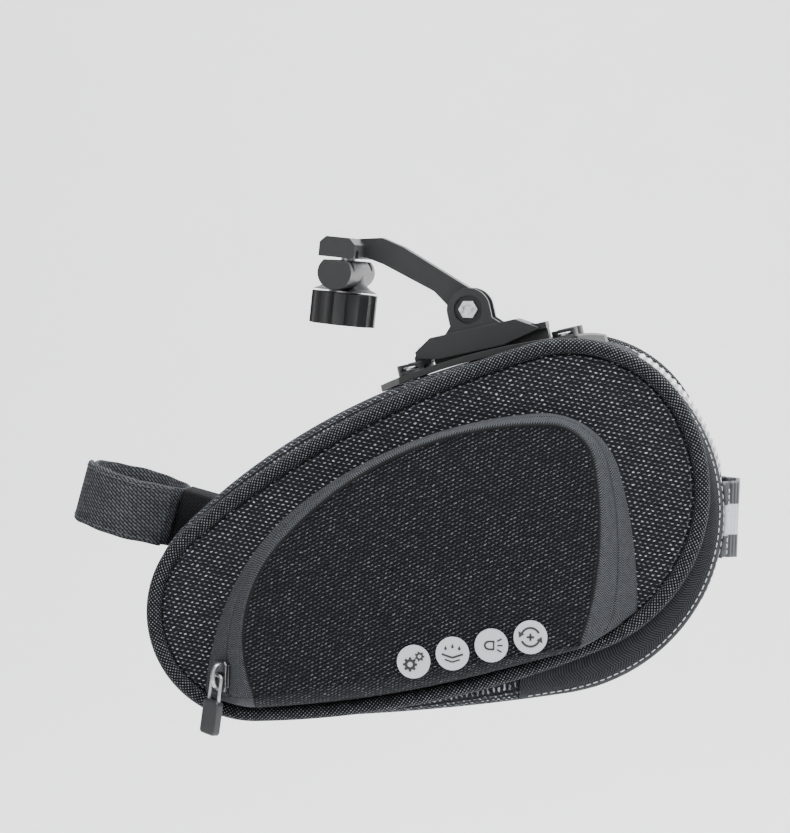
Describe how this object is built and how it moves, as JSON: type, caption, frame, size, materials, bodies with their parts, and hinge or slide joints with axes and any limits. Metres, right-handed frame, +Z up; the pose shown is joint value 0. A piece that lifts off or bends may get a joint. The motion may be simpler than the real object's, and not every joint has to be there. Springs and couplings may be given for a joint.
{
  "type": "saddle bag",
  "caption": "Wedge-shaped hard-shell saddle bag with side pocket, rear zip flap, quick-release saddle-rail clamp with tilting arm, and a seatpost strap.",
  "frame": {"origin": "midway between the two saddle rails, at the middle of the rail clamp", "axes": "+X to the rear of the bicycle, +Y to its right side, +Z up"},
  "size_m": [0.2247, 0.0787, 0.162],
  "materials": {
    "nylon": "fine spark-eroded texture",
    "rubber": "satin",
    "steel": "bright",
    "slider_metal": "satin black",
    "shell_mesh": "three-dimensional knitted mesh",
    "piping": "woven cover",
    "zipper_tape": "herringbone tape",
    "zipper_coil": "nylon coil",
    "lining": "open net",
    "reflective": "retroreflective film",
    "webbing": "hook-and-loop and ribbed webbing"
  },
  "bodies": {
    "bracket": {"bracket_arm": "nylon", "clamp_screw": "steel", "pivot_bolt": "steel", "pivot_nut": "steel", "pivot_washers": "nylon"},
    "jaw": {"lower_jaw": "nylon", "knob_washer": "steel"},
    "knob": {"clamp_knob": "nylon", "knob_nut": "steel"},
    "socket": {"quick_release_socket": "nylon", "latch_spring": "steel"},
    "latch": {"latch_button": "nylon"},
    "bag": {"base_plate": "nylon", "backing_plate": "nylon", "rivets": "steel", "left_side_panel": "shell_mesh", "right_side_panel": "shell_mesh", "left_piping": "piping", "right_piping": "piping", "gusset": "shell_mesh", "zipper_tape_body": "zipper_tape", "zipper_coil_body": "zipper_coil", "inner_mesh_pocket": "lining", "pocket_tape_inner": "zipper_tape", "pocket_tape_end": "zipper_tape", "seatpost_strap": "webbing", "strap_anchor": "webbing"},
    "flap": {"rear_flap": "shell_mesh", "zipper_tape_flap": "zipper_tape", "zipper_coil_flap": "zipper_coil", "reflective_strip": "reflective", "light_loop": "webbing"},
    "slider_main": {"main_slider": "slider_metal"},
    "puller_main": {"main_puller": "rubber"},
    "pocket": {"pocket_panel": "shell_mesh", "pocket_tape_outer": "zipper_tape", "reflective_badges": "reflective"},
    "slider_pocket": {"pocket_slider": "slider_metal"},
    "pull_pocket": {"pocket_pull_frame": "slider_metal", "pocket_pull_grip": "rubber"},
    "strap_tail": {"strap_end": "webbing"}
  },
  "joints": [
    {"name": "jaw_slide", "type": "slide", "parent": "bracket", "child": "jaw", "axis": [-0.1045, 0, -0.9945], "range_m": [0, 0.0045]},
    {"name": "knob_turn", "type": "hinge", "parent": "jaw", "child": "knob", "pos_m": [0, 0, 0], "axis": [-0.1045, 0, -0.9945], "range_deg": [0, 2016]},
    {"name": "pivot_tilt", "type": "hinge", "parent": "bracket", "child": "socket", "pos_m": [0.0411, 0, -0.0166], "axis": [0, 1, 0], "range_deg": [-25, 15]},
    {"name": "bag_slide", "type": "slide", "parent": "socket", "child": "bag", "axis": [0.9755, 0, 0.2198], "range_m": [0, 0.045]},
    {"name": "latch_press", "type": "slide", "parent": "socket", "child": "latch", "axis": [-0.2198, 0, 0.9755], "range_m": [0, 0.0012], "stiffness_N_per_m": 400, "springref_m": -0.0015, "deforming": ["latch_spring"]},
    {"name": "rear_flap_open", "type": "hinge", "parent": "bag", "child": "flap", "pos_m": [0.05917, 0, -0.14462], "axis": [0, 1, 0], "range_deg": [0, 75]},
    {"name": "main_slider_travel", "type": "hinge", "parent": "flap", "child": "slider_main", "pos_m": [0.0651, 0, -0.0829], "axis": [0, -1, 0], "range_deg": [0, 128]},
    {"name": "main_puller_swing", "type": "hinge", "parent": "slider_main", "child": "puller_main", "pos_m": [0.08138, 0.02, -0.14366], "axis": [0, -1, 0], "range_deg": [0, 120]},
    {"name": "pocket_open", "type": "hinge", "parent": "bag", "child": "pocket", "pos_m": [-0.0245, -0.03864, -0.1415], "axis": [0.9848, 0.0063, 0.1736], "range_deg": [0, 35]},
    {"name": "pocket_slider_travel", "type": "hinge", "parent": "bag", "child": "slider_pocket", "pos_m": [0.02805, -0.03841, -0.13305], "axis": [0, 0.9994, -0.036], "range_deg": [0, 14]},
    {"name": "pocket_pull_swing", "type": "hinge", "parent": "slider_pocket", "child": "pull_pocket", "pos_m": [-0.03773, -0.0405, -0.13535], "axis": [-0.733, 0.6723, 0.103], "range_deg": [0, 80]},
    {"name": "strap_peel", "type": "hinge", "parent": "bag", "child": "strap_tail", "pos_m": [-0.08987, 0, -0.07778], "axis": [-0.2672, 0, -0.9636], "range_deg": [0, 60]}
  ],
  "couplings": [
    {"joint": "jaw_slide", "follows": "knob_turn", "m_per_rad": 0.00012732}
  ]
}
